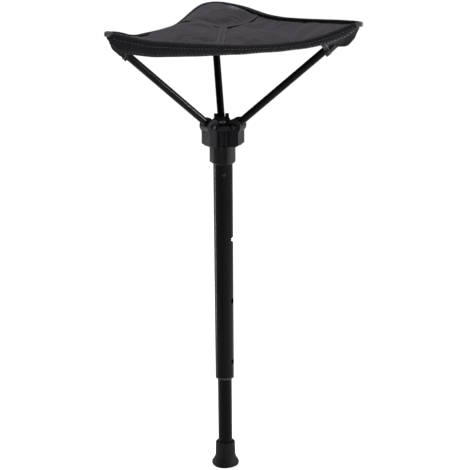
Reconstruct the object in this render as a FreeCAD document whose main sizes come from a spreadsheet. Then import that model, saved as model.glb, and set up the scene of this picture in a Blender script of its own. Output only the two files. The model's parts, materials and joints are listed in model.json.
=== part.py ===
"""One-leg folding stool: a telescopic leg, a hub with three folding arms and a padded seat.

Millimetres. The origin is the centre of the foot's sole and +Z runs up the leg. The rear arm
points along +Y, the left arm to 210 degrees and the right arm to 330 degrees.
"""

import FreeCAD, Part
import math
import os

import Sketcher
from FreeCAD import Placement, Rotation, Vector

DIMENSIONS = {
    # leg
    "outer_tube_radius": 12.5,
    "outer_tube_bore": 11.0,
    "outer_tube_bottom": 129.0,
    "outer_tube_top": 460.0,
    "inner_tube_radius": 9.5,
    "inner_tube_bore": 8.3,
    "inner_tube_bottom": 8.0,
    "inner_tube_top": 350.0,
    "running_gap": 0.06,
    "button_height": 321.0,
    "hole_spacing": 85.0,
    "hole_radius": 3.7,
    "button_radius": 3.3,
    "button_hole_radius": 3.35,
    "rivet_height": 409.0,
    "rivet_radius": 2.0,
    # foot
    "foot_height": 33.0,
    "foot_sole_radius": 18.2,
    "foot_kink_height": 13.5,
    "foot_kink_radius": 13.7,
    "foot_top_radius": 13.05,
    "foot_floor": 6.5,
    # hub
    "hub_bottom": 421.8,
    "collar_radius": 16.0,
    "collar_height": 23.9,
    "core_radius": 15.0,
    "hub_height": 49.2,
    "plate_underside": 38.2,
    "rim_radius": 20.3,
    "rim_bottom": 46.6,
    "rim_top": 52.0,
    "block_radius": 26.0,
    "block_width": 18.6,
    "ear_radius": 9.5,
    "slot_width": 10.5,
    "slot_radius": 6.5,
    "cap_radius": 9.6,
    "screw_radius": 2.0,
    # arms
    "pivot_radius": 19.5,
    "pivot_height": 50.2,
    "pin_radius": 2.5,
    "pin_bore": 2.55,
    "pin_head_radius": 3.6,
    "arm_rise": 41.0,
    "arm_radius": 4.75,
    "arm_bore": 3.75,
    "arm_length": 170.0,
    "arm_heel": 3.9,
    "plug_length": 20.0,
    # seat
    "seat_corner_radius": 168.5,
    "seat_edge_radius": 82.0,
    "seat_centre_top": 592.0,
    "seat_edge_top": 587.0,
    "seat_corner_top": 608.5,
    "pad_thickness": 4.8,
    "cloth_thickness": 0.8,
    "binding_drop": 13.0,
    "binding_thickness": 2.4,
    "pocket_start": 141.0,
    "pocket_end": 175.8,
    "pocket_bore": 5.0,
    "pocket_radius": 6.6,
}

ARM_AZIMUTHS = {"rear": 90.0, "left": 210.0, "right": 330.0}
BUTTON_AZIMUTH = 330.0
HEIGHT_HOLES = 3
CORNER_RISE_POWER = 5
BINDING_REACH = 0.86
SURFACE_STEPS = 10

document = FreeCAD.newDocument("OneLegStool")


class Size:
    """A length with its value and the sheet expression that drives it."""

    def __init__(self, value, text):
        self.value = value
        self.text = text

    def joined(self, sign, other, value):
        return Size(value, "(" + self.text + sign + size(other).text + ")")

    def __add__(self, other):
        return self.joined(" + ", other, self.value + size(other).value)

    def __sub__(self, other):
        return self.joined(" - ", other, self.value - size(other).value)

    def __mul__(self, other):
        return self.joined(" * ", other, self.value * size(other).value)


def size(number):
    """A plain number as a Size, or the Size itself."""
    if isinstance(number, Size):
        return number
    return Size(float(number), repr(float(number)))


class Sizes:
    """The sheet's cells, each as an attribute that holds its Size."""

    def __init__(self, dimensions):
        sheet = document.addObject("Spreadsheet::Sheet", "Dims")
        for row, (alias, value) in enumerate(dimensions.items(), start=1):
            sheet.set("A" + str(row), alias)
            sheet.set("B" + str(row), str(value))
            sheet.setAlias("B" + str(row), alias)
        document.recompute()
        for alias in dimensions:
            setattr(self, alias, Size(float(sheet.get(alias)), "Dims." + alias))


S = Sizes(DIMENSIONS)


# ---------------------------------------------------------------- PartDesign helpers


def new_body(label):
    body = document.addObject("PartDesign::Body", label)
    body.Label = label
    return body


def new_sketch(body, role):
    """A sketch on one of the body's own origin planes."""
    plane = next(p for p in body.Origin.OriginFeatures if p.Role == role)
    sketch = body.newObject("Sketcher::SketchObject", body.Name + "_sketch")
    sketch.AttachmentSupport = (plane, [""])
    sketch.MapMode = "FlatFace"
    return sketch


def bind_distance(sketch, kind, edge, point, length):
    """Fixes one coordinate of a sketch point, measured from the sketch's origin."""
    index = sketch.addConstraint(Sketcher.Constraint(kind, -1, 1, edge, point, length.value))
    sketch.setExpression("Constraints[" + str(index) + "]", length.text)


def add_outline(sketch, points):
    """A closed outline of straight edges through points, each an (x, y) pair of sizes."""
    corners = [(size(x), size(y)) for x, y in points]
    first = sketch.GeometryCount
    for start, end in zip(corners, corners[1:] + corners[:1]):
        a = Vector(start[0].value, start[1].value, 0)
        b = Vector(end[0].value, end[1].value, 0)
        sketch.addGeometry(Part.LineSegment(a, b))
    count = len(corners)
    for i in range(count):
        after = first + (i + 1) % count
        sketch.addConstraint(Sketcher.Constraint("Coincident", first + i, 2, after, 1))
    for i, (x, y) in enumerate(corners):
        bind_distance(sketch, "DistanceX", first + i, 1, x)
        bind_distance(sketch, "DistanceY", first + i, 1, y)


def add_circle(sketch, x, y, radius):
    x, y, radius = size(x), size(y), size(radius)
    shape = Part.Circle(Vector(x.value, y.value, 0), Vector(0, 0, 1), radius.value)
    edge = sketch.addGeometry(shape)
    bind_distance(sketch, "DistanceX", edge, 3, x)
    bind_distance(sketch, "DistanceY", edge, 3, y)
    index = sketch.addConstraint(Sketcher.Constraint("Radius", edge, radius.value))
    sketch.setExpression("Constraints[" + str(index) + "]", radius.text)


def revolve(body, points, kind="PartDesign::Revolution"):
    """Turns a closed (radius, height) outline about the body's Z axis."""
    sketch = new_sketch(body, "XZ_Plane")
    add_outline(sketch, points)
    feature = body.newObject(kind, body.Name + "_turned")
    feature.Profile = sketch
    feature.ReferenceAxis = (sketch, ["V_Axis"])
    feature.Angle = 360
    document.recompute()
    return feature


def extrude(body, sketch, length, kind="PartDesign::Pad", both_sides=False, reverse=False):
    """Pads or pockets a sketch. With both_sides the length is shared by the two sides."""
    length = size(length)
    feature = body.newObject(kind, body.Name + "_" + kind.split("::")[1].lower())
    feature.Profile = sketch
    feature.Length = length.value
    feature.setExpression("Length", length.text)
    feature.SideType = "Symmetric" if both_sides else "One side"
    feature.Reversed = reverse
    document.recompute()
    return feature


def cut(body, sketch, length, both_sides=False, reverse=False):
    """Pockets a sketch and makes sure that material was removed."""
    before = body.Shape.Volume
    feature = extrude(body, sketch, length, "PartDesign::Pocket", both_sides, reverse)
    if not body.Shape.Volume < before:
        raise RuntimeError(body.Label + ": a pocket removed nothing")
    return feature


def repeat_round_axis(body, features, count):
    """Repeats features evenly about the body's Z axis."""
    axis = next(a for a in body.Origin.OriginFeatures if a.Role == "Z_Axis")
    pattern = body.newObject("PartDesign::PolarPattern", body.Name + "_round")
    pattern.Originals = features
    pattern.Axis = (axis, [""])
    pattern.Angle = 360
    pattern.Occurrences = count
    body.Tip = pattern
    document.recompute()
    return pattern


def turned(label, points, height=0.0):
    """A sub-part made by one revolution, set at a height on the leg's axis."""
    body = new_body(label)
    revolve(body, points)
    body.Placement = Placement(Vector(0, 0, height), Rotation())
    return body


def ring(label, inner, outer, low, high):
    return turned(label, [(inner, low), (outer, low), (outer, high), (inner, high)])


# ---------------------------------------------------------------- leg


def radial_hole(body, height, radius, azimuth):
    """Drills one wall of a tube, towards an azimuth, at a height above the origin."""
    reach = 20.0
    sketch = new_sketch(body, "YZ_Plane")
    add_circle(sketch, 0.0, height, radius)
    hole = cut(body, sketch, reach, reverse=True)
    body.Placement = Placement(Vector(), Rotation(Vector(0, 0, 1), azimuth))
    return hole


def make_rubber_foot():
    rim = 1.2
    groove = 1.4
    groove_width = 1.8
    inner_groove = 5.0
    outer_groove = 10.5
    sole_edge = 1.7
    return turned("rubber_foot", [
        (0, 0),
        (inner_groove, 0),
        (inner_groove, groove),
        (inner_groove + groove_width, groove),
        (inner_groove + groove_width, 0),
        (outer_groove, 0),
        (outer_groove, groove),
        (outer_groove + groove_width, groove),
        (outer_groove + groove_width, 0),
        (S.foot_sole_radius - sole_edge, 0),
        (S.foot_sole_radius - 0.5, 0.5),
        (S.foot_sole_radius, sole_edge),
        (S.foot_sole_radius, 3.2),
        (S.foot_kink_radius + 1.6, 8.6),
        (S.foot_kink_radius + 0.3, 11.8),
        (S.foot_kink_radius, S.foot_kink_height),
        (S.foot_top_radius, S.foot_height - rim),
        (S.foot_top_radius - rim, S.foot_height),
        (S.inner_tube_radius, S.foot_height),
        (S.inner_tube_radius, S.foot_floor),
        (0, S.foot_floor),
    ])


def make_foot_washer():
    edge = 0.1
    centre_hole = 3.0
    return ring(
        "foot_washer", centre_hole, S.inner_tube_radius - edge, S.foot_floor, S.inner_tube_bottom
    )


def make_inner_tube():
    tube = ring(
        "inner_tube", S.inner_tube_bore, S.inner_tube_radius, S.inner_tube_bottom, S.inner_tube_top
    )
    radial_hole(tube, S.button_height, S.button_hole_radius, BUTTON_AZIMUTH)
    return tube


def make_guide_bush():
    """A cap on the inner tube's top end that keeps the tubes in line."""
    sleeve = 14.0
    lip = 3.0
    chamfer = 0.8
    slide_radius = S.outer_tube_bore - S.running_gap
    return turned("guide_bush", [
        (S.inner_tube_radius, S.inner_tube_top - sleeve),
        (slide_radius - chamfer, S.inner_tube_top - sleeve),
        (slide_radius, S.inner_tube_top - sleeve + chamfer),
        (slide_radius, S.inner_tube_top + lip - chamfer),
        (slide_radius - chamfer, S.inner_tube_top + lip),
        (S.inner_tube_bore, S.inner_tube_top + lip),
        (S.inner_tube_bore, S.inner_tube_top),
        (S.inner_tube_radius, S.inner_tube_top),
    ])


def make_outer_tube():
    tube = ring(
        "outer_tube", S.outer_tube_bore, S.outer_tube_radius, S.outer_tube_bottom, S.outer_tube_top
    )
    for step in range(HEIGHT_HOLES):
        radial_hole(tube, S.button_height - S.hole_spacing * step, S.hole_radius, BUTTON_AZIMUTH)
    drill_rivet_hole(tube)
    return tube


def drill_rivet_hole(tube):
    """One hole in the tube's front wall, which is at 270 degrees."""
    depth = 20.0
    turn = math.radians(270.0 - BUTTON_AZIMUTH)
    circle_plane = new_sketch(tube, "YZ_Plane")
    circle_plane.AttachmentOffset = Placement(Vector(), Rotation(Vector(0, 1, 0), math.degrees(turn)))
    add_circle(circle_plane, 0.0, S.rivet_height, S.rivet_radius)
    cut(tube, circle_plane, depth, reverse=True)


def make_end_bush():
    """The pale ring in the outer tube's mouth, in which the inner tube slides."""
    sleeve = 18.0
    flange = 2.6
    chamfer = 0.5
    slide_radius = S.inner_tube_radius + S.running_gap
    rim = S.outer_tube_bottom - flange
    return turned("end_bush", [
        (slide_radius, rim),
        (S.outer_tube_radius - chamfer, rim),
        (S.outer_tube_radius, rim + chamfer),
        (S.outer_tube_radius, S.outer_tube_bottom),
        (S.outer_tube_bore, S.outer_tube_bottom),
        (S.outer_tube_bore, S.outer_tube_bottom + sleeve),
        (slide_radius, S.outer_tube_bottom + sleeve),
    ])


def make_tube_plug():
    """Closes the outer tube's top and takes the hub's screw."""
    length = 18.0
    screw_depth = 15.0
    return turned("tube_plug", [
        (0, S.outer_tube_top - length),
        (S.outer_tube_bore, S.outer_tube_top - length),
        (S.outer_tube_bore, S.outer_tube_top),
        (S.screw_radius, S.outer_tube_top),
        (S.screw_radius, S.outer_tube_top - screw_depth),
        (0, S.outer_tube_top - screw_depth),
    ])


def lay_outward(body, azimuth, height):
    """Turns a body made along its own Z so that it points away from the leg."""
    outward = Rotation(Vector(0, 0, 1), azimuth).multiply(Rotation(Vector(0, 1, 0), 90))
    body.Placement = Placement(Vector(0, 0, height), outward)


def make_snap_button():
    flange_radius = 4.3
    flange_start = 5.8
    flange_end = 6.9
    crown = 1.6
    proud = S.outer_tube_radius + 1.7
    body = turned("snap_button", [
        (0, flange_start),
        (flange_radius, flange_start),
        (flange_radius, flange_end),
        (S.button_radius, flange_end),
        (S.button_radius, proud - crown),
        (S.button_radius * 0.86, proud - crown * 0.45),
        (S.button_radius * 0.5, proud - crown * 0.1),
        (0, proud),
    ])
    lay_outward(body, BUTTON_AZIMUTH, S.button_height.value)
    return body


def make_button_spring():
    """A bent leaf: it bears on the button, goes down to a bend and back up the far wall."""
    width = 6.0
    body = new_body("button_spring")
    sketch = new_sketch(body, "XZ_Plane")
    add_outline(sketch, [
        (5.75, 5.0),
        (5.75, -8.0),
        (0.3, -37.0),
        (-0.5, -37.0),
        (-7.6, -12.0),
        (-7.6, 8.0),
        (-7.0, 8.0),
        (-7.0, -12.0),
        (-0.1, -34.5),
        (5.15, -8.0),
        (5.15, 5.0),
    ])
    extrude(body, sketch, width, both_sides=True)
    turn = Rotation(Vector(0, 0, 1), BUTTON_AZIMUTH)
    body.Placement = Placement(Vector(0, 0, S.button_height.value), turn)
    return body


def make_tube_rivet():
    head_radius = 2.6
    head = 0.9
    tail = 1.2
    body = turned("tube_rivet", [
        (0, S.outer_tube_bore - tail),
        (S.rivet_radius, S.outer_tube_bore - tail),
        (S.rivet_radius, S.outer_tube_radius + 0.05),
        (head_radius, S.outer_tube_radius + 0.05),
        (head_radius, S.outer_tube_radius + head * 0.5),
        (head_radius * 0.6, S.outer_tube_radius + head),
        (0, S.outer_tube_radius + head),
    ])
    lay_outward(body, 270.0, S.rivet_height.value)
    return body


# ---------------------------------------------------------------- hub


def make_hub():
    """A collar and core with a round rim on top, three two-walled clevises and ribs."""
    body = new_body("hub")
    turn_hub_core(body)
    features = [add_block(body), add_ears(body)]
    features += [add_rib(body, side) for side in (-1, 1)]
    features += [cut_slot(body), cut_slot_end(body), cut_pin_bore(body)]
    features += [cut_head_seat(body, side) for side in (-1, 1)]
    repeat_round_axis(body, features, len(ARM_AZIMUTHS))
    turn = Rotation(Vector(0, 0, 1), ARM_AZIMUTHS["rear"])
    body.Placement = Placement(Vector(0, 0, S.hub_bottom.value), turn)
    return body


def turn_hub_core(body):
    chamfer = 1.8
    shoulder = 1.0
    rim_width = 2.2
    rim_slope = 3.6
    revolve(body, [
        (S.outer_tube_radius, 0),
        (S.collar_radius - chamfer, 0),
        (S.collar_radius, chamfer),
        (S.collar_radius, S.collar_height),
        (S.core_radius, S.collar_height + shoulder),
        (S.core_radius, S.rim_bottom - rim_slope),
        (S.rim_radius - 0.5, S.rim_bottom),
        (S.rim_radius, S.rim_bottom + 0.8),
        (S.rim_radius, S.rim_top - 1.0),
        (S.rim_radius - 0.8, S.rim_top),
        (S.rim_radius - rim_width, S.rim_top),
        (S.rim_radius - rim_width - 1.2, S.hub_height),
        (S.screw_radius, S.hub_height),
        (S.screw_radius, S.plate_underside),
        (S.outer_tube_radius, S.plate_underside),
    ])


def add_block(body):
    """The clevis's block, with a small step at the foot of its outer end."""
    inside = 13.2
    step = 3.0
    rise = 2.4
    sketch = new_sketch(body, "XZ_Plane")
    add_outline(sketch, [
        (inside, S.collar_height),
        (S.block_radius - step - 0.4, S.collar_height),
        (S.block_radius - step, S.collar_height + 0.4),
        (S.block_radius - step, S.collar_height + rise),
        (S.block_radius - 0.6, S.collar_height + rise),
        (S.block_radius, S.collar_height + rise + 0.6),
        (S.block_radius, S.pivot_height - 7.0),
        (S.pivot_radius, S.pivot_height),
        (inside, S.pivot_height - 2.5),
    ])
    return extrude(body, sketch, S.block_width, both_sides=True)


def add_ears(body):
    sketch = new_sketch(body, "XZ_Plane")
    add_circle(sketch, S.pivot_radius, S.pivot_height, S.ear_radius)
    return extrude(body, sketch, S.block_width, both_sides=True)


def add_rib(body, side):
    """One of two upright ribs on the core between two clevises, opposite the first one."""
    offset = 3.1 * side
    half = 0.9
    proud = 1.9
    inside = 13.2
    sketch = new_sketch(body, "XY_Plane")
    low_x = S.core_radius * -1.0 - proud
    add_outline(sketch, [
        (low_x, offset - half),
        (-inside, offset - half),
        (-inside, offset + half),
        (low_x, offset + half),
    ])
    return extrude(body, sketch, S.rim_bottom + 0.5)


def cut_slot(body):
    """Opens the clevis for the arm, from its rest slope up to upright."""
    reach = 32.0
    gap = 0.3
    rise = math.radians(S.arm_rise.value)
    under = S.arm_radius + gap
    floor_x = S.pivot_radius + under * math.sin(rise)
    floor_y = S.pivot_height - under * math.cos(rise)
    far_x = floor_x + reach * math.cos(rise)
    far_y = floor_y + reach * math.sin(rise)
    top = far_y + 20.0
    sketch = new_sketch(body, "XZ_Plane")
    add_outline(sketch, [
        (S.pivot_radius - S.slot_radius, S.pivot_height),
        (floor_x, floor_y),
        (far_x, far_y),
        (far_x, top),
        (S.pivot_radius - S.slot_radius, top),
    ])
    return cut(body, sketch, S.slot_width, both_sides=True)


def cut_slot_end(body):
    sketch = new_sketch(body, "XZ_Plane")
    add_circle(sketch, S.pivot_radius, S.pivot_height, S.slot_radius)
    return cut(body, sketch, S.slot_width, both_sides=True)


def cut_pin_bore(body):
    sketch = new_sketch(body, "XZ_Plane")
    add_circle(sketch, S.pivot_radius, S.pivot_height, S.pin_radius)
    return cut(body, sketch, S.block_width + 4.0, both_sides=True)


def cut_head_seat(body, side):
    """Clears the rim round one head of the pivot pin, outside a clevis wall."""
    depth = 4.0
    clearance = 0.3
    sketch = new_sketch(body, "XZ_Plane")
    half_width = S.block_width.value * 0.5
    sketch.AttachmentOffset = Placement(Vector(0, 0, half_width * side), Rotation())
    add_circle(sketch, S.pivot_radius, S.pivot_height, S.pin_head_radius + clearance)
    return cut(body, sketch, depth, reverse=side > 0)


def make_hub_cap():
    """A thin moulded disc over the hub's top plate."""
    thickness = 2.0
    chamfer = 0.8
    base = S.hub_bottom + S.hub_height
    return turned("hub_cap", [
        (S.screw_radius, base),
        (S.cap_radius, base),
        (S.cap_radius, base + thickness - chamfer),
        (S.cap_radius - chamfer, base + thickness),
        (S.screw_radius, base + thickness),
    ])


def make_hub_screw():
    head_radius = 4.2
    head = 2.4
    under_head = 2.0
    shank = 24.0
    recess = 1.2
    top = S.hub_bottom + S.hub_height + under_head
    body = turned("hub_screw", [
        (0, top - shank),
        (S.screw_radius, top - shank),
        (S.screw_radius, top),
        (head_radius, top),
        (head_radius, top + head * 0.45),
        (head_radius * 0.7, top + head),
        (0, top + head),
    ])
    cross = new_sketch(body, "XY_Plane")
    cross.AttachmentOffset = Placement(Vector(0, 0, (top + head).value), Rotation())
    arm = 2.4
    half = 0.45
    add_outline(cross, [
        (-arm, -half), (-half, -half), (-half, -arm), (half, -arm), (half, -half), (arm, -half),
        (arm, half), (half, half), (half, arm), (-half, arm), (-half, half), (-arm, half),
    ])
    cut(body, cross, recess)
    return body


# ---------------------------------------------------------------- arms


def arm_frame(azimuth):
    """The arm's own frame: origin on the pivot, Z out along the arm, Y along the pin."""
    around = Rotation(Vector(0, 0, 1), azimuth)
    lean = Rotation(Vector(0, 1, 0), 90.0 - S.arm_rise.value)
    height = S.hub_bottom.value + S.pivot_height.value
    pivot = around.multVec(Vector(S.pivot_radius.value, 0, 0)) + Vector(0, 0, height)
    return Placement(pivot, around.multiply(lean))


def drill_pivot(body):
    """The bore for the pivot pin, along the arm frame's Y axis."""
    sketch = new_sketch(body, "XZ_Plane")
    add_circle(sketch, 0.0, 0.0, S.pin_bore)
    cut(body, sketch, S.arm_radius * 4.0, both_sides=True)


def make_arm(side, azimuth):
    heel = S.arm_heel * -1.0
    tube = ring("arm_" + side, S.arm_bore, S.arm_radius, heel, S.arm_length)
    drill_pivot(tube)
    tube.Placement = arm_frame(azimuth)
    return tube


def make_arm_plug(side, azimuth):
    heel = S.arm_heel * -1.0
    plug = turned("arm_plug_" + side, [
        (0, heel),
        (S.arm_bore, heel),
        (S.arm_bore, S.plug_length),
        (0, S.plug_length),
    ])
    drill_pivot(plug)
    plug.Placement = arm_frame(azimuth)
    return plug


def make_arm_cap(side, azimuth):
    """A plug with a rounded head in the arm's upper end, which the seat's pocket bears on."""
    shank = 10.0
    crown = 3.6
    cap = turned("arm_cap_" + side, [
        (0, S.arm_length - shank),
        (S.arm_bore, S.arm_length - shank),
        (S.arm_bore, S.arm_length),
        (S.arm_radius, S.arm_length),
        (S.arm_radius, S.arm_length + crown * 0.35),
        (S.arm_radius * 0.8, S.arm_length + crown * 0.75),
        (S.arm_radius * 0.4, S.arm_length + crown),
        (0, S.arm_length + crown),
    ])
    cap.Placement = arm_frame(azimuth)
    return cap


def make_pivot_pin(side, azimuth):
    """A rivet pin through both clevis walls and the arm, with a domed head at each end."""
    head_radius = S.pin_head_radius
    head = 1.9
    end = S.block_width * 0.5
    pin = turned("pivot_pin_" + side, [
        (0, end * -1.0 - head),
        (head_radius * 0.6, end * -1.0 - head),
        (head_radius, end * -1.0 - head * 0.45),
        (head_radius, end * -1.0),
        (S.pin_radius, end * -1.0),
        (S.pin_radius, end),
        (head_radius, end),
        (head_radius, end + head * 0.45),
        (head_radius * 0.6, end + head),
        (0, end + head),
    ])
    frame = arm_frame(azimuth)
    sideways = frame.Rotation.multiply(Rotation(Vector(1, 0, 0), -90))
    pin.Placement = Placement(frame.Base, sideways)
    return pin


def make_corner_pocket(side, azimuth):
    """The cloth cup sewn under a corner, which slips over the arm's upper end."""
    wall = S.pocket_radius - S.pocket_bore
    round_off = 2.2
    pocket = turned("corner_pocket_" + side, [
        (S.pocket_bore, S.pocket_start),
        (S.pocket_radius, S.pocket_start),
        (S.pocket_radius, S.pocket_end - round_off),
        (S.pocket_radius - round_off, S.pocket_end),
        (0, S.pocket_end),
        (0, S.pocket_end - wall),
        (S.pocket_bore, S.pocket_end - wall),
    ])
    pocket.Placement = arm_frame(azimuth)
    return pocket


def make_corner_tab(side, azimuth):
    """The webbing that runs on from the pocket's end and turns up over the tip of a corner."""
    width = 11.0
    thickness = 2.2
    gap = 0.6
    drop = 8.5
    rise = math.radians(S.arm_rise.value)
    end_x = S.pivot_radius + S.pocket_end * math.cos(rise)
    end_z = S.hub_bottom + S.pivot_height + S.pocket_end * math.sin(rise)
    half_x = thickness * 0.5 * math.sin(rise)
    half_z = thickness * 0.5 * math.cos(rise)
    inside = S.seat_corner_radius + gap
    outside = inside + thickness
    top = S.seat_corner_top - 0.5
    body = new_body("corner_tab_" + side)
    sketch = new_sketch(body, "XZ_Plane")
    add_outline(sketch, [
        (end_x - half_x, end_z + half_z),
        (end_x + half_x, end_z - half_z),
        (outside, top - drop - thickness * 0.5),
        (outside, top),
        (inside, top),
        (inside, top - drop + thickness * 0.5),
    ])
    extrude(body, sketch, width, both_sides=True)
    body.Placement = Placement(Vector(), Rotation(Vector(0, 0, 1), azimuth))
    return body


# ---------------------------------------------------------------- seat


def seat_point(u, v, drop=0.0):
    """A point on the seat's top for the corner at azimuth 0.

    (0, 0) is the seat's centre, (1, 1) the corner, and (1, 0) and (0, 1) the middles of the
    two edges that meet there.
    """
    edge = S.seat_edge_radius.value
    corner = S.seat_corner_radius.value
    x = edge * 0.5 * (u + v) + (corner - edge) * u * v
    y = edge * math.sin(math.radians(60.0)) * (u - v)
    dip = S.seat_edge_top.value - S.seat_centre_top.value
    rise = S.seat_corner_top.value - S.seat_centre_top.value
    lift = (u * v) ** CORNER_RISE_POWER
    z = S.seat_centre_top.value + dip * (u + v - 2.0 * u * v) + rise * lift
    return Vector(x, y, z - drop)


def seat_surface(drop):
    """The curved top of one third of the seat, lowered by drop."""
    steps = [i / SURFACE_STEPS for i in range(SURFACE_STEPS + 1)]
    surface = Part.BSplineSurface()
    surface.interpolate([[seat_point(u, v, drop) for v in steps] for u in steps])
    return surface.toShape()


def new_feature(label, shape, azimuth):
    feature = document.addObject("Part::Feature", label)
    feature.Label = label
    feature.Shape = shape
    feature.Placement = Placement(Vector(), Rotation(Vector(0, 0, 1), azimuth))
    return feature


def make_seat_panel(side, azimuth):
    """One third of the quilted pad, from the seat's centre to a corner."""
    shape = seat_surface(0.0).extrude(Vector(0, 0, -S.pad_thickness.value))
    return new_feature("seat_panel_" + side, shape, azimuth)


def make_seat_underside():
    """The single cloth that backs the three panels."""
    third = seat_surface(S.pad_thickness.value).extrude(Vector(0, 0, -S.cloth_thickness.value))
    whole = third.copy()
    for turn in (120.0, 240.0):
        other = third.copy()
        other.rotate(Vector(), Vector(0, 0, 1), turn)
        whole = whole.fuse(other)
    return new_feature("seat_underside", whole, ARM_AZIMUTHS["rear"])


def make_edge_binding(name, azimuth):
    """The hem that hangs from one edge, whose middle lies at the given azimuth."""
    steps = [BINDING_REACH * i / SURFACE_STEPS for i in range(SURFACE_STEPS + 1)]
    half = [seat_point(1.0, v) for v in steps]
    to_middle = Rotation(Vector(0, 0, 1), -60.0)
    right = [to_middle.multVec(p) for p in half]
    left = [Vector(p.x, -p.y, p.z) for p in right]
    outset = 0.02
    along = [p + Vector(outset, 0, 0) for p in left[:0:-1] + right]
    curve = Part.BSplineCurve()
    curve.interpolate(along)
    band = curve.toShape().extrude(Vector(0, 0, -S.binding_drop.value))
    shape = band.extrude(Vector(S.binding_thickness.value, 0, 0))
    return new_feature(name, shape, azimuth)


# ---------------------------------------------------------------- assembly


def make_all():
    parts = [
        make_rubber_foot(),
        make_foot_washer(),
        make_inner_tube(),
        make_guide_bush(),
        make_snap_button(),
        make_button_spring(),
        make_outer_tube(),
        make_end_bush(),
        make_tube_plug(),
        make_tube_rivet(),
        make_hub(),
        make_hub_cap(),
        make_hub_screw(),
        make_seat_underside(),
    ]
    for side, azimuth in ARM_AZIMUTHS.items():
        parts.append(make_pivot_pin(side, azimuth))
        parts.append(make_arm(side, azimuth))
        parts.append(make_arm_plug(side, azimuth))
        parts.append(make_arm_cap(side, azimuth))
        parts.append(make_corner_pocket(side, azimuth))
        parts.append(make_corner_tab(side, azimuth))
        parts.append(make_seat_panel(side, azimuth))
    parts.append(make_edge_binding("edge_binding_front", 270.0))
    parts.append(make_edge_binding("edge_binding_left", 150.0))
    parts.append(make_edge_binding("edge_binding_right", 30.0))
    return parts


def check_all(parts):
    """Stops if any object failed to compute or any sub-part is empty or invalid."""
    document.recompute()
    for item in document.Objects:
        if "Invalid" in item.State or "Error" in item.State:
            raise RuntimeError(item.Label + " failed to compute")
    for part in parts:
        if part.Shape.isNull() or not part.Shape.isValid() or not part.Shape.Solids:
            raise RuntimeError(part.Label + " has no valid solid")


def export_all(parts):
    os.makedirs("parts", exist_ok=True)
    for part in parts:
        part.Shape.exportStep("parts/" + part.Label + ".step")
        box = part.Shape.BoundBox
        volume = part.Shape.Volume / 1000.0
        print(f"{part.Label}: {volume:.2f} cm3, z {box.ZMin:.1f} to {box.ZMax:.1f}")


sub_parts = make_all()
check_all(sub_parts)
export_all(sub_parts)
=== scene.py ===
"""Looks for the one-leg folding stool: studio, materials and the sewn, padded seat.

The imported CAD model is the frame. Lengths are in metres. Azimuths are in degrees from +X, so the
rear arm is at 90, the left arm at 210 and the right arm at 330.
"""
import json
import math

import bmesh
import bpy
import numpy as np
from mathutils import Matrix, Vector, noise


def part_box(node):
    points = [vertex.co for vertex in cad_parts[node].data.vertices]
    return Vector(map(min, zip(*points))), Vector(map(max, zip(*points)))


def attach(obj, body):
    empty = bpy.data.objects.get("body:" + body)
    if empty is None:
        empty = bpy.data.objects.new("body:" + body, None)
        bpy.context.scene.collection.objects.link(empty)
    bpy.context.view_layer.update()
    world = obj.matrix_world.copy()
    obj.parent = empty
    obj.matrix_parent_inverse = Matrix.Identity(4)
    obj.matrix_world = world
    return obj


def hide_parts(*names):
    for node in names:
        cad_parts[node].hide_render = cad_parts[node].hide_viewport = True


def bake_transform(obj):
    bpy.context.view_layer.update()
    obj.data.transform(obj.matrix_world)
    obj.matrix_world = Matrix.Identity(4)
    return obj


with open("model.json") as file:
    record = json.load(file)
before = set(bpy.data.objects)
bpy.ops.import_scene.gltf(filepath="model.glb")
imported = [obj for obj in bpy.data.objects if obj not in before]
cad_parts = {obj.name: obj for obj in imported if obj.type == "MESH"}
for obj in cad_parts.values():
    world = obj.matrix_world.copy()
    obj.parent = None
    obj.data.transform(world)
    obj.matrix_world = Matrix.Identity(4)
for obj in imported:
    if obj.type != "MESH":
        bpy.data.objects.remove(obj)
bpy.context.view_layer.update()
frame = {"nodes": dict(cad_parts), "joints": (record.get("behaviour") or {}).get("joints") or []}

MM = 0.001
# The azimuth of each corner and of each seam's outer end, in degrees.
SIDES = {"rear": 90.0, "left": 210.0, "right": 330.0}
SEAMS = {"front": 270.0, "rear_left": 150.0, "rear_right": 30.0}
# For each corner, the seam 60 degrees anticlockwise of it and the seam clockwise of it.
SEAM_PAIRS = {
    "rear": ("rear_left", "rear_right"),
    "left": ("front", "rear_left"),
    "right": ("rear_right", "front"),
}
EDGE_NODES = {
    "front": "edge_binding_front",
    "rear_left": "edge_binding_left",
    "rear_right": "edge_binding_right",
}

# Places from the frame.
EDGE_RADIUS = -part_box("edge_binding_front")[1].y
CAD_CORNER_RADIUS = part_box("seat_panel_rear")[1].y
CAD_CORNER_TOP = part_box("seat_panel_rear")[1].z
PIVOT = next(Vector(j["pos_m"]) for j in frame["joints"] if j["child"] == "rear_arm")
ARM_RADIUS = (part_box("arm_rear")[1].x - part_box("arm_rear")[0].x) / 2
ARM_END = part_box("arm_cap_rear")[1]
ARM_SLOPE = math.tan(math.radians(41.0))

# Where the seams meet, in metres.
CENTRE = np.array([0.003, 0.008, 0.5927])
# How far each corner stands from the CAD's corner: outwards, anticlockwise and up, in millimetres.
CORNER_SHIFT = {"rear": (1, 0, -7), "left": (-4, 0, -4.5), "right": (13, 6, 2)}
# How far each seam's outer end stands from its edge's middle, and how much the seam bows up.
SEAM_SHIFT = {"front": -8, "rear_left": -32, "rear_right": 33}
SEAM_CROWN = {"front": 1.5, "rear_left": 7.5, "rear_right": -5.5}
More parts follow.
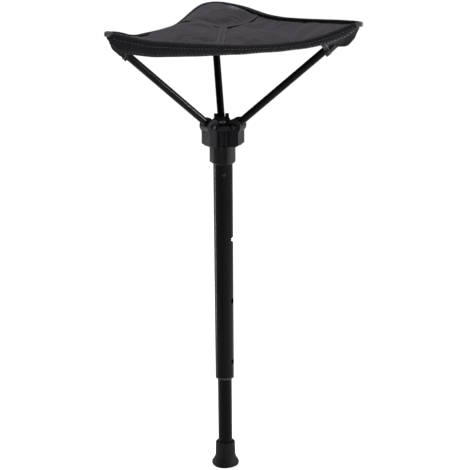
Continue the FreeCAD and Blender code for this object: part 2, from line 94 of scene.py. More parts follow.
# Along each edge, from its first corner to its second: how far along, and the height there.
EDGE_HEIGHTS = {
    "front": ((-146, 604), (-115, 596.5), (-90, 590.5), (-35, 586), (20, 583.2), (60, 584),
              (95, 588), (125, 597), (158, 610.5)),
    "rear_left": ((-150, 601.5), (-125, 604), (-105, 603.3), (-80, 598.5), (-58, 592.5),
                  (-32, 587), (10, 587), (75, 589.5), (100, 593.5), (125, 601), (146, 604)),
    "rear_right": ((-158, 610.5), (-125, 609), (-65, 603.8), (-20, 600.6), (10, 600.4),
                   (33, 602), (60, 604.8), (85, 605.5), (120, 605), (150, 601.5)),
}
# How far the binding hangs below each edge, in the same way.
HEM_DROPS = {
    "front": ((-150, 22), (-105, 19), (-70, 16), (-30, 13), (0, 10.5), (40, 8), (90, 8), (125, 11)),
    "rear_left": ((-150, 10), (-32, 9), (60, 12), (150, 18)),
    "rear_right": ((-150, 12), (0, 9), (150, 10)),
}
# Half a seam tape's width, and how much of the panel each binding covers.
SEAM_HALF = 4.8 * MM
HEM_PROFILE_COVER = 6.5 * MM
HEM_COVER = {"front": 6.5 * MM, "rear_left": 10.5 * MM, "rear_right": 8.0 * MM}


# ---------------------------------------------------------------- small helpers


def smooth(t):
    t = np.clip(t, 0.0, 1.0)
    return t * t * (3.0 - 2.0 * t)


def ray(azimuth):
    """The level unit vector towards an azimuth."""
    a = math.radians(azimuth)
    return np.array([math.cos(a), math.sin(a), 0.0])


def waves(points, scale, seed):
    """Smooth noise from -1 to 1 at each point; scale is the size of its lumps."""
    flat = np.asarray(points, float).reshape(-1, 3)
    offset = Vector((seed * 7.31, seed * 3.17, seed * 1.93))
    values = [noise.noise(Vector(p) / scale + offset) for p in flat]
    return np.array(values).reshape(np.asarray(points).shape[:-1])


def grid_faces(rows, columns, closed=False, start=0):
    """Quads over a grid of points in row order. With closed, the last column joins the first."""
    faces = []
    for i in range(rows - 1):
        for j in range(columns if closed else columns - 1):
            k = (j + 1) % columns
            a = start + i * columns
            b = a + columns
            faces.append((a + j, a + k, b + k, b + j))
    return faces


def make_object(name, points, faces):
    mesh = bpy.data.meshes.new(name)
    mesh.from_pydata(np.asarray(points, float).reshape(-1, 3).tolist(), [], faces)
    mesh.polygons.foreach_set("use_smooth", [True] * len(mesh.polygons))
    mesh.update()
    made = bpy.data.objects.new(name, mesh)
    bpy.context.scene.collection.objects.link(made)
    return made


def face_outwards(made):
    """Makes a closed mesh's faces point out of it."""
    work = bmesh.new()
    work.from_mesh(made.data)
    bmesh.ops.remove_doubles(work, verts=work.verts, dist=1e-6)
    bmesh.ops.recalc_face_normals(work, faces=work.faces)
    work.to_mesh(made.data)
    work.free()
    made.data.update()
    return made


def bake_modifiers(made):
    """Replaces the mesh by what its modifiers make of it."""
    graph = bpy.context.evaluated_depsgraph_get()
    made.data = bpy.data.meshes.new_from_object(made.evaluated_get(graph))
    made.modifiers.clear()
    made.data.polygons.foreach_set("use_smooth", [True] * len(made.data.polygons))
    return made


def subdivide(made, levels=1):
    modifier = made.modifiers.new("subdivide", "SUBSURF")
    modifier.levels = levels
    modifier.render_levels = levels
    return bake_modifiers(made)


def grid_normals(grid):
    """Unit normals of a grid of points, by differences along its rows and columns."""
    along = np.gradient(grid, axis=0)
    across = np.gradient(grid, axis=1)
    normal = np.cross(along, across)
    length = np.linalg.norm(normal, axis=2, keepdims=True)
    return normal / np.maximum(length, 1e-12)


def two_layers(name, upper, lower):
    """A closed mesh between two grids of points of the same size, joined round their rims."""
    rows, columns = upper.shape[:2]
    count = rows * columns
    faces = grid_faces(rows, columns) + grid_faces(rows, columns, start=count)
    rim = list(range(columns))
    rim += [i * columns + columns - 1 for i in range(1, rows)]
    rim += [(rows - 1) * columns + j for j in range(columns - 2, -1, -1)]
    rim += [i * columns for i in range(rows - 2, 0, -1)]
    for a, b in zip(rim, rim[1:] + rim[:1]):
        faces.append((a, b, b + count, a + count))
    return face_outwards(make_object(name, np.concatenate([upper, lower]), faces))


def slab(name, grid, thickness):
    """A closed sheet with the grid as its top and a copy below it along the normals."""
    normal = grid_normals(grid)
    normal = normal * np.sign(normal[..., 2:3] + 1e-9)
    return two_layers(name, grid, grid - normal * thickness)


def tube_mesh(name, rings):
    """A closed mesh through rings of points, with a flat end at each end."""
    rows, columns = rings.shape[:2]
    faces = grid_faces(rows, columns, closed=True)
    faces.append(tuple(range(columns)))
    faces.append(tuple((rows - 1) * columns + j for j in range(columns)))
    return face_outwards(make_object(name, rings, faces))


# ---------------------------------------------------------------- the seat's surface


def corner_point(side):
    out, sideways, up = (v * MM for v in CORNER_SHIFT[side])
    place = ray(SIDES[side]) * (CAD_CORNER_RADIUS + out) + ray(SIDES[side] + 90) * sideways
    return place + np.array([0, 0, CAD_CORNER_TOP + up])


def eased(places, knots):
    """A smooth line through knots of place and value in millimetres, for places in metres."""
    knots = np.array(knots, float) * MM
    spread = np.linspace(-9, 9, 7) * MM
    values = [np.interp(places + d, knots[:, 0], knots[:, 1]) for d in spread]
    return np.mean(values, axis=0)


def along_edge(seam):
    """The level unit vector along an edge, from its first corner to its second."""
    return ray(SEAMS[seam] + 90)


def middle_point(seam):
    """Where a seam meets its edge."""
    shift = SEAM_SHIFT[seam] * MM
    height = eased(np.array(shift), EDGE_HEIGHTS[seam])
    place = ray(SEAMS[seam]) * EDGE_RADIUS + along_edge(seam) * shift
    return place + np.array([0, 0, float(height)])


def seam_curve(seam, t):
    """Points along a seam, from the seat's centre at 0 to the edge at 1."""
    t = np.asarray(t, float)
    end = middle_point(seam)
    points = CENTRE + t[..., None] * (end - CENTRE)
    points[..., 2] += SEAM_CROWN[seam] * MM * np.sin(np.pi * t ** 1.4)
    return points


def edge_curve(side, seam, t):
    """Points along part of an edge, from its seam at 0 to a corner at 1."""
    t = np.asarray(t, float)
    along = along_edge(seam)
    middle = middle_point(seam)
    span = corner_point(side) - middle
    straight = along * np.dot(along, span)
    bowed = (span - straight) * np.array([1, 1, 0])
    points = middle + t[..., None] * straight + (t ** 2)[..., None] * bowed
    points[..., 2] = eased(points @ along, EDGE_HEIGHTS[seam])
    return points


def panel_surface(side, u, v):
    """The sewn cloth's level for one third of the seat: a patch between two seams and two edges."""
    first, second = SEAM_PAIRS[side]
    u, v = np.asarray(u, float), np.asarray(v, float)
    a, b = u[..., None], v[..., None]
    patch = (1 - b) * seam_curve(first, u) + b * edge_curve(side, second, u)
    patch += (1 - a) * seam_curve(second, v) + a * edge_curve(side, first, v)
    patch -= (1 - a) * (1 - b) * CENTRE + a * (1 - b) * middle_point(first)
    patch -= (1 - a) * b * middle_point(second) + a * b * corner_point(side)
    return patch


def distance_to_curve(points, curve):
    """Level distance from each point to a polyline."""
    flat = points.reshape(-1, 3)[:, :2]
    best = np.full(len(flat), 1e9)
    for p, q in zip(curve[:-1, :2], curve[1:, :2]):
        d = q - p
        t = np.clip(((flat - p) @ d) / (d @ d), 0, 1)
        best = np.minimum(best, np.linalg.norm(flat - (p + t[:, None] * d), axis=1))
    return best.reshape(points.shape[:-1])


def border_distances(side, grid):
    """How far each point of a panel is from its seams, and from the bindings' inner borders."""
    steps = np.linspace(0, 1, 40)
    first, second = SEAM_PAIRS[side]
    seams = np.minimum(
        distance_to_curve(grid, seam_curve(first, steps)),
        distance_to_curve(grid, seam_curve(second, steps)),
    )
    edges = np.minimum(
        distance_to_curve(grid, edge_curve(side, first, steps)) - HEM_COVER[first],
        distance_to_curve(grid, edge_curve(side, second, steps)) - HEM_COVER[second],
    )
    return seams, edges


# ---------------------------------------------------------------- panels


PANEL_CELLS = 52
PAD_RISE = 6.5 * MM
PAD_CAP = 9.0 * MM


def panel_start(side):
    """The panel before it is filled: its top grid, and each point's distance from its stitching."""
    steps = np.linspace(0, 1, PANEL_CELLS + 1)
    u, v = np.meshgrid(steps, steps, indexing="ij")
    grid = panel_surface(side, u, v)
    seams, edges = border_distances(side, grid)
    free = np.minimum(seams - SEAM_HALF, edges)
    return grid, free


def slack_towards_middle(side, grid):
    """0 where a corner's arm pulls the cloth taut, 1 further in."""
    out = np.linalg.norm((grid - corner_point(side))[..., :2], axis=-1)
    return smooth((out - 22 * MM) / (62 * MM))


def make_panel(side):
    """A quilted panel: pinned where it is sewn, blown up by cloth simulation between."""
    grid, free = panel_start(side)
    swell = PAD_RISE * (1 - (1 - np.clip(free / (24 * MM), 0, 1)) ** 2.4)
    swell *= slack_towards_middle(side, grid)
    top = grid.copy()
    top[..., 2] += swell * 0.45
    below = grid.copy()
    below[..., 2] -= 2.0 * MM
    panel = two_layers("seat_pad_" + side, top, below)
    inflate(panel, free, slack_towards_middle(side, grid))
    pucker(panel, free, grid, side)
    subdivide(panel)
    return panel


def inflate(panel, free, slack):
    """Cloth simulation of the panel's top; the sewn border and the bottom are pinned."""
    count = free.size
    pins = panel.vertex_groups.new(name="pins")
    held = [int(i) for i in np.flatnonzero(free.ravel() <= 0)]
    pins.add(held + list(range(count, 2 * count)), 1.0, "REPLACE")
    cloth = panel.modifiers.new("cloth", "CLOTH")
    settings = cloth.settings
    settings.vertex_group_mass = "pins"
    settings.quality = 6
    settings.mass = 0.25
    settings.tension_stiffness = 18
    settings.compression_stiffness = 12
    settings.shear_stiffness = 6
    settings.bending_stiffness = 0.35
    settings.air_damping = 2.0
    settings.use_pressure = True
    settings.uniform_pressure_force = 4.0
    settings.shrink_min = -0.035
    settings.effector_weights.gravity = 0.0
    scene = bpy.context.scene
    for step in range(1, 21):
        scene.frame_set(step)
    graph = bpy.context.evaluated_depsgraph_get()
    made = panel.evaluated_get(graph).to_mesh()
    moved = np.array([p.co for p in made.vertices], float)
    rest = np.array([p.co for p in panel.data.vertices], float)
    shift = moved - rest
    length = np.linalg.norm(shift, axis=1, keepdims=True)
    shift *= np.minimum(1.0, PAD_CAP / np.maximum(length, 1e-9))
    shift[:count] *= slack.reshape(-1, 1)
    panel.data.vertices.foreach_set("co", (rest + shift).astype(np.float32).ravel())
    panel.modifiers.clear()
    scene.frame_set(1)
    panel.data.update()


def pucker(panel, free, grid, side):
    """Small gathers beside the stitching and slack creases further in, along the top."""
    count = free.size
    co = np.array([p.co for p in panel.data.vertices], float)
    top = co[:count].reshape(free.shape + (3,))
    near = np.exp(-np.clip(free, 0, None) / (6 * MM)) * smooth(free / (2.5 * MM))
    gathers = waves(grid, 5.5 * MM, 1) * 0.9 * MM * near
    slack = waves(grid, 26 * MM, 2) * 1.3 * MM * smooth(free / (14 * MM))
    top[..., 2] += gathers + slack
    co[:count] = top.reshape(-1, 3)
    panel.data.vertices.foreach_set("co", co.astype(np.float32).ravel())
    panel.data.update()


def make_underside(side):
    """The backing cloth under one panel."""
    steps = np.linspace(0, 1, 25)
    u, v = np.meshgrid(steps, steps, indexing="ij")
    grid = panel_surface(side, u, v)
    seams, edges = border_distances(side, grid)
    grid[..., 2] -= 2.6 * MM + 3.0 * MM * smooth(np.minimum(seams, edges) / (24 * MM))
    grid[..., 2] += waves(grid, 20 * MM, 3) * 0.8 * MM
    return slab("seat_backing_" + side, grid, 0.8 * MM)


# ---------------------------------------------------------------- seam tapes, hems, stitches


def stitches(batch, path, normals, length=3.0 * MM, pitch=4.2 * MM, radius=0.42 * MM):
    """Adds thread stitches along a path to batch, a pair of lists of points and faces."""
    sides = 5
    steps = np.linalg.norm(np.diff(path, axis=0), axis=1)
    run = np.concatenate([[0], np.cumsum(steps)])
    count = int((run[-1] - length) / pitch) + 1
    if count < 1:
        return
    start = (run[-1] - (count - 1) * pitch - length) / 2
    sections = ((0.0, 0.35, -0.5), (0.18, 1.0, 0.1), (0.82, 1.0, 0.1), (1.0, 0.35, -0.5))
    points, faces = batch
    for k in range(count):
        base = len(points)
        for share, width, lift in sections:
            at = start + k * pitch + share * length
            centre = np.array([np.interp(at, run, path[:, c]) for c in range(3)])
            up = np.array([np.interp(at, run, normals[:, c]) for c in range(3)])
            ahead = np.array([np.interp(at + 0.2 * MM, run, path[:, c]) for c in range(3)])
            behind = np.array([np.interp(at - 0.2 * MM, run, path[:, c]) for c in range(3)])
            along = ahead - behind
            along /= np.linalg.norm(along)
            up = up - along * np.dot(up, along)
            up /= np.linalg.norm(up)
            side = np.cross(along, up)
            for s in range(sides):
                turn = 2 * math.pi * s / sides
                spoke = side * math.cos(turn) + up * math.sin(turn) * 0.8
                points.append(centre + up * radius * lift + spoke * radius * width)
        for row in range(len(sections) - 1):
            for s in range(sides):
                a = base + row * sides
                t = (s + 1) % sides
                faces.append((a + s, a + t, a + sides + t, a + sides + s))
        faces.append(tuple(base + s for s in range(sides)))
        last = base + (len(sections) - 1) * sides
        faces.append(tuple(last + s for s in reversed(range(sides))))


def make_seam_tape(seam):
    """The flat felled strip over a seam, from the centre to the edge's middle."""
    rows = 60
    t = np.linspace(0.0, 0.985, rows)
    path = seam_curve(seam, t)
    across = np.cross(ray(SEAMS[seam]), [0, 0, 1])
    profile = [(-4.7, -0.6), (-4.7, 0.35), (-4.1, 0.75), (-3.2, 0.72), (-1.6, 1.05), (-0.3, 1.1),
               (0.0, 0.75), (0.3, 1.0), (1.6, 0.95), (3.2, 0.70), (4.1, 0.75), (4.7, 0.35),
               (4.7, -0.6), (0.0, -0.9)]
    rings = np.zeros((rows, len(profile), 3))
    ripple = waves(path, 7 * MM, 4) * 0.25 * MM
    for j, (side, up) in enumerate(profile):
        rings[:, j] = path + across * side * MM
        rings[:, j, 2] += up * MM + ripple
    tape = tube_mesh("seam_tape_" + seam, rings)
    thread = ([], [])
    for j in (3, 9):
        stitches(thread, rings[2:-2, j], np.tile([0.0, 0.0, 1.0], (rows - 4, 1)))
    return tape, make_object("seam_thread_" + seam, thread[0], thread[1])


def edge_frame(side, seam, t):
    """Half an edge's points, with the level unit vectors that point out of the seat."""
    path = edge_curve(side, seam, t)
    ahead = edge_curve(side, seam, t + 0.01) - edge_curve(side, seam, t - 0.01)
    outward = np.cross(ahead, [0, 0, 1.0])
    outward /= np.linalg.norm(outward, axis=1, keepdims=True)
    outward *= np.sign(outward @ ray(SEAMS[seam]))[:, None]
    return path, outward


HEM_PROFILE = [
    (-6.8, 0.75), (-6.2, 1.35), (-3.5, 1.55), (-0.6, 1.35), (1.3, 0.7), (2.3, -0.7), (2.7, -2.6),
    (2.45, -3.4), (2.75, -4.4), (2.6, -7.4), (2.3, -9.6), (1.95, -10.3), (2.05, -11.2),
    (1.3, -12.3), (0.2, -12.2), (-0.2, -11.0), (0.3, -6.0), (0.1, -1.8), (-1.0, -0.9), (-6.4, -0.6),
]


def hem_grid(side, seam):
    """Rings of points for one half of an edge's folded binding."""
    rows = 90
    t = np.linspace(0.0, 0.975, rows)
    path, outward = edge_frame(side, seam, t)
    rings = np.zeros((rows, len(HEM_PROFILE), 3))
    sway = waves(path, 22 * MM, 5) * 0.9 * MM
    crinkle = waves(path, 6 * MM, 6) * 0.35 * MM
    narrow = 1.0 - 0.45 * smooth((t - 0.86) / 0.12)
    fall = eased(path @ along_edge(seam), HEM_DROPS[seam]) / (12.3 * MM)
    fall *= 1.0 - 0.5 * smooth((t - 0.88) / 0.12)
    for j, (out, up) in enumerate(HEM_PROFILE):
        share = np.clip(-up / 12.0, 0, 1)
        lean = -1.6 * MM * share ** 2
        shift = (out * MM + sway * share + crinkle * (0.4 + share) + lean)[:, None]
        inner = shift * narrow[:, None] * HEM_COVER[seam] / HEM_PROFILE_COVER
        rings[:, j] = path + outward * np.where(out < 0, inner, shift)
        rings[:, j, 2] += up * MM * np.where(up < -1.0, fall, 1.0)
    return rings


def make_hem(side, seam):
    rings = hem_grid(side, seam)
    hem = tube_mesh(f"hem_{seam}_{side}", rings)
    thread = ([], [])
    path, outward = edge_frame(side, seam, np.linspace(0.0, 0.975, len(rings)))
    flat_up = np.tile([0.0, 0.0, 1.0], (len(rings), 1))
    for j, normal in ((2, flat_up), (7, outward), (11, outward)):
        stitches(thread, rings[1:-2, j], normal[1:-2])
    return hem, make_object(f"hem_thread_{seam}_{side}", thread[0], thread[1])


# ---------------------------------------------------------------- corner pockets and tabs


POCKET_MOUTH = 0.138
# A larger power lets more empty cloth hang past the arm's end.
POCKET_BELLY = {"rear": 1.3, "left": 1.1, "right": 2.4}


def edge_at_radius(side, seam, reach):
    """The point of an edge that is a given way out along the corner's ray, and its outward."""
    t = np.linspace(0.2, 1.0, 200)
    path, outward = edge_frame(side, seam, t)
    k = np.searchsorted(path @ ray(SIDES[side]), reach)
    k = min(k, len(t) - 1)
    return path[k], outward[k]


def pocket_grid(side):
    """The hood sewn under a corner: rows run from the tip to the mouth, columns side to side."""
    rows, columns = 34, 41
    first, second = SEAM_PAIRS[side]
    tip = float(corner_point(side) @ ray(SIDES[side])) - 3.5 * MM
    arm_end = ARM_END.y
    grid = np.zeros((rows, columns, 3))
    across = np.linspace(-1, 1, columns)
    soft = 0.30
    shape = (np.sqrt(across ** 2 + soft ** 2) - soft) / (math.sqrt(1 + soft ** 2) - soft)
    for i, a in enumerate(np.linspace(0, 1, rows)):
        reach = tip + (POCKET_MOUTH - tip) * a
        ends = []
        for seam in (second, first):
            point, outward = edge_at_radius(side, seam, reach)
            hang = 9.5 * MM * (1.0 - 0.45 * (1 - smooth(a / 0.3)))
            ends.append(point + outward * 0.6 * MM - np.array([0, 0, hang]))
        middle = (ends[0] + ends[1]) / 2
        under_arm = PIVOT.z + (min(reach, arm_end) - PIVOT.y) * ARM_SLOPE
        under_arm -= (ARM_RADIUS + 1.4 * MM) / math.cos(math.atan(ARM_SLOPE))
        beyond = np.clip((reach - arm_end) / (tip - arm_end), 0, 1) ** POCKET_BELLY[side]
        low = under_arm + (middle[2] - 2.0 * MM - under_arm) * beyond
        low = min(low, middle[2] - 2.0 * MM)
        for j, b in enumerate(across):
            point = ends[0] * (1 - b) / 2 + ends[1] * (1 + b) / 2
            depth = point[2] - low
            pinch = 1.0 - 0.22 * math.sin(math.pi * (1 - abs(b))) * smooth(a / 0.4)
            level = middle * np.array([1, 1, 0]) + (point - middle) * np.array([1, 1, 0]) * pinch
            grid[i, j] = level + np.array([0, 0, point[2] - depth * (1 - shape[j])])
    grid += grid_normals(grid) * (waves(grid, 9 * MM, 7) * 0.8 * MM)[..., None]
    return grid


def make_pocket(side):
    grid = pocket_grid(side)
    hem_rows = 5
    normal = grid_normals(grid)
    if normal[-1, normal.shape[1] // 2, 2] > 0:
        normal = -normal
    swell = np.zeros(len(grid))
    swell[-hem_rows:] = 0.75 * MM
    outer = grid + normal * swell[:, None, None]
    inner = grid - normal * 1.1 * MM
    pocket = two_layers("pocket_" + side, outer, inner)
    thread = ([], [])
    stitches(thread, outer[-hem_rows, 1:-1], normal[-hem_rows, 1:-1])
    return subdivide(pocket), make_object("pocket_thread_" + side, thread[0], thread[1])


def make_tab(side):
    """The webbing that wraps the very tip of a corner."""
    tip = corner_point(side) - np.array([0, 0, 1.6 * MM])
    out = ray(SIDES[side])
    left = np.cross([0, 0, 1.0], out)
    turn = np.linspace(-1, 1, 25)
    half = 2.6 * MM
    back = 4.2 * MM
    centre = tip - out * 2.4 * MM
    bend = np.clip(np.abs(turn) - 0.45, 0, None) / 0.55
    angle = np.clip(turn / 0.45, -1, 1) * math.pi / 2 * 0.86
    path = centre + out * (np.cos(angle) * half * 1.15 - bend * back)[:, None]
    path += left * (np.sin(angle) * half + np.sign(turn) * bend * back * 0.42)[:, None]
    outward = np.cross(np.gradient(path, axis=0), [0, 0, 1.0])
    outward /= np.linalg.norm(outward, axis=1, keepdims=True)
    outward *= np.sign(np.sum(outward * (path - centre + out * back), axis=1))[:, None]
    profile = [(-0.8, 1.2), (0.1, 1.9), (1.0, 1.3), (1.5, -0.8), (1.3, -3.0), (0.7, -3.8),
               (0.0, -3.2), (-0.4, -1.2)]
    rings = np.zeros((len(path), len(profile), 3))
    for j, (o, up) in enumerate(profile):
        rings[:, j] = path + outward * o * MM
        rings[:, j, 2] += up * MM
    return tube_mesh("tab_" + side, rings)


# ---------------------------------------------------------------- materials


def new_material(name, colour, roughness, metallic=0.0):
    """A material with its principled shader, ready for textures."""
    made = bpy.data.materials.new(name)
    made.use_nodes = True
    shader = made.node_tree.nodes["Principled BSDF"]
    shader.inputs["Base Color"].default_value = (*colour, 1.0)
    shader.inputs["Roughness"].default_value = roughness
    shader.inputs["Metallic"].default_value = metallic
    return made, made.node_tree, shader


def node(tree, kind, **values):
    made = tree.nodes.new(kind)
    for key, value in values.items():
        if key in made.inputs:
            made.inputs[key].default_value = value
        else:
            setattr(made, key, value)
    return made


def coordinates(tree, scale):
    place = node(tree, "ShaderNodeTexCoord")
    mapping = node(tree, "ShaderNodeMapping")
    mapping.inputs["Scale"].default_value = scale
    tree.links.new(place.outputs["Object"], mapping.inputs["Vector"])
    return mapping.outputs["Vector"]


def noise_texture(tree, size, detail=4.0, stretch=(1, 1, 1)):
    """Noise whose lumps are about size metres across."""
    texture = node(tree, "ShaderNodeTexNoise", Detail=detail)
    texture.inputs["Scale"].default_value = 1.0
    scale = [s / size for s in stretch]
    tree.links.new(coordinates(tree, scale), texture.inputs["Vector"])
    return texture.outputs["Fac"]


def ramp(tree, source, stops):
    made = node(tree, "ShaderNodeValToRGB")
    elements = made.color_ramp.elements
    while len(elements) < len(stops):
        elements.new(0.5)
    for element, (place, colour) in zip(elements, stops):
        element.position = place
        element.color = (*colour, 1.0) if len(colour) == 3 else colour
    tree.links.new(source, made.inputs["Fac"])
    return made.outputs["Color"]


def bump(tree, shader, source, depth, strength=1.0, before=None):
    made = node(tree, "ShaderNodeBump")
    made.inputs["Strength"].default_value = strength
    made.inputs["Distance"].default_value = depth
    tree.links.new(source, made.inputs["Height"])
    if before is not None:
        tree.links.new(before, made.inputs["Normal"])
    tree.links.new(made.outputs["Normal"], shader.inputs["Normal"])
    return made.outputs["Normal"]


def scaled(colour, share):
    return tuple(c * share for c in colour)


def vary(tree, shader, source, colour, low, high, places=(0.3, 0.7)):
    stops = [(places[0], scaled(colour, low)), (places[1], scaled(colour, high))]
    tree.links.new(ramp(tree, source, stops), shader.inputs["Base Color"])


def vary_roughness(tree, shader, source, low, high):
    made = ramp(tree, source, [(0.3, (low,) * 3), (0.7, (high,) * 3)])
    tree.links.new(made, shader.inputs["Roughness"])


def weave(tree, pitch):
    """A plain weave's height: warp and weft threads that pass over and under each other."""
    place = coordinates(tree, (1.0, 1.0, 1.0))
    waves_made = []
    for direction in ((1.0, 0.0, 0.12), (0.0, 1.0, 0.9)):
        dot = node(tree, "ShaderNodeVectorMath", operation="DOT_PRODUCT")
        dot.inputs[1].default_value = [d * math.pi / pitch for d in direction]
        tree.links.new(place, dot.inputs[0])
        sine = node(tree, "ShaderNodeMath", operation="SINE")
        tree.links.new(dot.outputs["Value"], sine.inputs[0])
        waves_made.append(sine.outputs["Value"])
    product = node(tree, "ShaderNodeMath", operation="MULTIPLY")
    tree.links.new(waves_made[0], product.inputs[0])
    tree.links.new(waves_made[1], product.inputs[1])
    return product.outputs["Value"]


def cloth_material(name, colour, pitch, depth, sheen):
    made, tree, shader = new_material(name, colour, 0.82)
    shader.inputs["Sheen Weight"].default_value = sheen
    shader.inputs["Sheen Roughness"].default_value = 0.45
    shader.inputs["Sheen Tint"].default_value = (0.9, 0.86, 0.95, 1.0)
    shader.inputs["Specular IOR Level"].default_value = 0.08
    speckle = noise_texture(tree, 1.5 * MM, 3.0, (1.0, 2.2, 1.0))
    vary(tree, shader, speckle, colour, 0.68, 1.36)
    threads = bump(tree, shader, weave(tree, pitch), depth, 0.7)
    bump(tree, shader, noise_texture(tree, 9 * MM, 3.0), 0.5 * MM, 0.35, threads)
    return made


def plastic_material(name, colour, roughness, grain):
    made, tree, shader = new_material(name, colour, roughness)
    shader.inputs["Specular IOR Level"].default_value = 0.05
    vary(tree, shader, noise_texture(tree, 12 * MM), colour, 0.85, 1.15)
    vary_roughness(tree, shader, noise_texture(tree, 6 * MM), roughness - 0.07, roughness + 0.07)
    bump(tree, shader, noise_texture(tree, 0.5 * MM, 2.0), grain, 0.5)
    return made


def gloss_paint(name, colour, roughness):
    """Stoved paint over a tube: smooth, with orange peel and a few dull scuffs."""
    made, tree, shader = new_material(name, colour, roughness)
    shader.inputs["Specular IOR Level"].default_value = 0.04
    scuffs = noise_texture(tree, 16 * MM, 8.0, (1.0, 1.0, 0.18))
    vary_roughness(tree, shader, scuffs, roughness * 0.8, roughness * 1.5)
    vary(tree, shader, scuffs, colour, 0.85, 1.3)
    bump(tree, shader, noise_texture(tree, 9 * MM, 1.0), 0.01 * MM, 0.3)
    return made


def metal_material(name, colour, roughness):
    made, tree, shader = new_material(name, colour, roughness, metallic=1.0)
    brushed = noise_texture(tree, 1.2 * MM, 3.0, (1.0, 1.0, 6.0))
    vary_roughness(tree, shader, brushed, roughness - 0.08, roughness + 0.1)
    vary(tree, shader, noise_texture(tree, 3 * MM), colour, 0.8, 1.1)
    bump(tree, shader, brushed, 0.02 * MM, 0.4)
    return made


def rubber_material(name, colour):
    made, tree, shader = new_material(name, colour, 0.6)
    shader.inputs["Specular IOR Level"].default_value = 0.08
    dust = noise_texture(tree, 8 * MM, 6.0)
    vary(tree, shader, dust, colour, 0.85, 1.5, (0.4, 0.85))
    vary_roughness(tree, shader, dust, 0.5, 0.72)
    bump(tree, shader, noise_texture(tree, 0.7 * MM, 3.0), 0.08 * MM, 0.5)
    return made


def thread_material(name, colour):
    made, tree, shader = new_material(name, colour, 0.55)
    shader.inputs["Sheen Weight"].default_value = 0.4
    twist = noise_texture(tree, 0.35 * MM, 1.0)
    vary(tree, shader, twist, colour, 0.7, 1.3)
    bump(tree, shader, twist, 0.08 * MM, 0.6)
    return made


def paint(material, *objects):
    for made in objects:
        made.data.materials.clear()
        made.data.materials.append(material)


def paint_nodes(material, *names):
    for name in names:
        target = frame["nodes"][name]
        for place in target.material_slots:
            place.material = material
        if not target.material_slots:
            target.data.materials.append(material)


# ---------------------------------------------------------------- putting the seat together


def blend_with_arm(piece):
    """Bakes the piece's world transform into its mesh."""
    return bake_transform(piece)


def build_seat(cloths):
    for side in SIDES:
        panel = make_panel(side)
        backing = make_underside(side)
        paint(cloths["panel"], panel)
        paint(cloths["backing"], backing)
        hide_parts("seat_panel_" + side)
        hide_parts("seat_underside")
        blend_with_arm(panel)
        blend_with_arm(backing)
        build_corner(side, cloths)
        trims = []
        for seam in SEAM_PAIRS[side]:
            hem, thread = make_hem(side, seam)
            paint(cloths["binding"], hem)
            paint(cloths["thread"], thread)
            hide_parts(EDGE_NODES[seam])
            blend_with_arm(hem)
            blend_with_arm(thread)
            trims += [hem, thread]
    for seam in SEAMS:
        tape, thread = make_seam_tape(seam)
        paint(cloths["panel"], tape)
        paint(cloths["thread"], thread)
        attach(tape, "upper_leg")
        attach(thread, "upper_leg")


def build_corner(side, cloths):
    pocket, thread = make_pocket(side)
    tab = make_tab(side)
    paint(cloths["binding"], pocket)
    paint(cloths["thread"], thread)
    paint(cloths["tab"], tab)
    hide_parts("corner_pocket_" + side)
    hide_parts("corner_tab_" + side)
    for piece in (pocket, thread, tab):
        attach(piece, side + "_arm")


def paint_frame():
    gloss = gloss_paint("gloss_black", (0.0042, 0.0035, 0.0037), 0.18)
    satin = gloss_paint("satin_black", (0.0022, 0.0021, 0.0026), 0.3)
    moulded = plastic_material("moulded_black", (0.0095, 0.009, 0.011), 0.42, 0.05 * MM)
    nylon = plastic_material("grey_nylon", (0.035, 0.034, 0.034), 0.5, 0.03 * MM)
    rubber = rubber_material("foot_rubber", (0.0045, 0.0043, 0.0055))
    zinc = metal_material("zinc", (0.62, 0.62, 0.64), 0.3)
    button = metal_material("button_metal", (0.72, 0.70, 0.66), 0.3)
    dark = metal_material("dark_rivet", (0.02, 0.02, 0.022), 0.42)
    paint_nodes(gloss, "outer_tube", "arm_rear", "arm_left", "arm_right")
    paint_nodes(satin, "inner_tube")
    paint_nodes(moulded, "hub", "hub_cap", "tube_plug")
    paint_nodes(moulded, *[f"arm_{kind}_{s}" for kind in ("plug", "cap") for s in SIDES])
    paint_nodes(nylon, "end_bush", "guide_bush")
    paint_nodes(rubber, "rubber_foot")
    paint_nodes(zinc, "foot_washer", "button_spring", "hub_screw")
    paint_nodes(dark, "tube_rivet", *["pivot_pin_" + s for s in SIDES])
    paint_nodes(button, "snap_button")


def seat_cloths():
    panel = (0.042, 0.037, 0.044)
    # The binding's dark colour is partly its own darker cloth and partly painted shade for the
    # shaded bands that face forward and down.
    binding = (0.010, 0.0095, 0.0115)
    backing = (0.018, 0.017, 0.020)
    return {
        "panel": cloth_material("seat_cloth", panel, 0.62 * MM, 0.12 * MM, 0.25),
        "binding": cloth_material("binding_cloth", binding, 0.55 * MM, 0.10 * MM, 0.06),
        "backing": cloth_material("backing_cloth", backing, 0.7 * MM, 0.08 * MM, 0.05),
        # The tab cloth is lighter than the binding as a painted rim highlight on the corner tips.
        "tab": cloth_material("tab_webbing", (0.07, 0.067, 0.073), 1.3 * MM, 0.2 * MM, 0.3),
        "thread": thread_material("thread", (0.009, 0.0085, 0.010)),
    }


# ---------------------------------------------------------------- studio


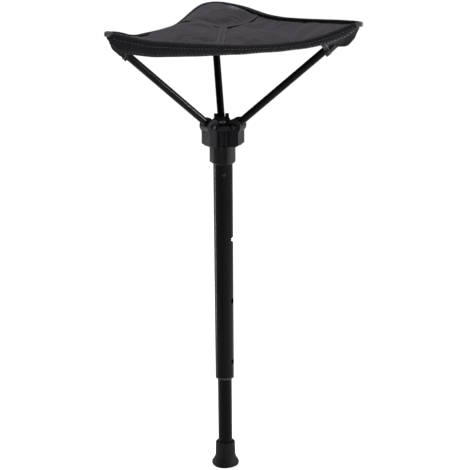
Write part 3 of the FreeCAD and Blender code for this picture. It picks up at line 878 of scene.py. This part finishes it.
def add_light(name, kind, energy, place, target, size=1.0, size_y=None):
    data = bpy.data.lights.new(name, kind)
    data.energy = energy
    if kind == "AREA":
        data.shape = "RECTANGLE"
        data.size = size
        data.size_y = size_y or size
    if kind == "SUN":
        data.angle = math.radians(size)
    made = bpy.data.objects.new(name, data)
    made.location = place
    made.rotation_mode = "QUATERNION"
    made.rotation_quaternion = (Vector(target) - Vector(place)).to_track_quat("-Z", "Y")
    bpy.context.scene.collection.objects.link(made)
    return made


def build_studio():
    scene = bpy.context.scene
    scene.view_settings.view_transform = "Standard"
    world = bpy.data.worlds.new("studio")
    scene.world = world
    world.use_nodes = True
    background = world.node_tree.nodes["Background"]
    background.inputs["Color"].default_value = (1.0, 1.0, 1.0, 1.0)
    background.inputs["Strength"].default_value = 0.2
    floor = make_object("floor", [(-9, -9, 0), (9, -9, 0), (9, 30, 0), (-9, 30, 0)], [(0, 1, 2, 3)])
    paint(new_material("floor_white", (0.93, 0.93, 0.93), 0.9)[0], floor)
    add_light("sun", "SUN", 3.1, (-0.8, 0.5, 3.4), (0.0, 0.0, 0.35), 25.0)
    add_light("left_strip", "AREA", 1.3, (-0.383, 0.172, 0.19), (0, 0, 0.19), 0.03, 0.34)
    add_light("right_box", "AREA", 20.0, (0.90, -0.12, 0.50), (-0.08, -0.05, 0.53), 0.42, 0.06)


def build_camera():
    """The camera stands in front, a little left, and looks down at the stool."""
    image_side = 470.0
    focal = 1405.3
    turn = math.radians(4.65)
    pitch = math.radians(17.16)
    roll = math.radians(-0.36)
    stand = Vector((0.0148, -1.7404, 0.8622))
    place = Matrix.Rotation(-turn, 4, "Z") @ stand
    data = bpy.data.cameras.new("camera")
    data.sensor_width = 36.0
    data.lens = focal / image_side * data.sensor_width
    data.clip_start = 0.05
    data.clip_end = 60.0
    made = bpy.data.objects.new("camera", data)
    aim = Matrix.Rotation(-turn, 3, "Z") @ Vector((0, math.cos(pitch), -math.sin(pitch)))
    made.location = place
    made.rotation_mode = "QUATERNION"
    turned = aim.to_track_quat("-Z", "Y").to_matrix()
    made.rotation_quaternion = (turned @ Matrix.Rotation(roll, 3, "Z")).to_quaternion()
    bpy.context.scene.collection.objects.link(made)
    bpy.context.scene.camera = made


build_camera()
build_studio()
paint_frame()
build_seat(seat_cloths())
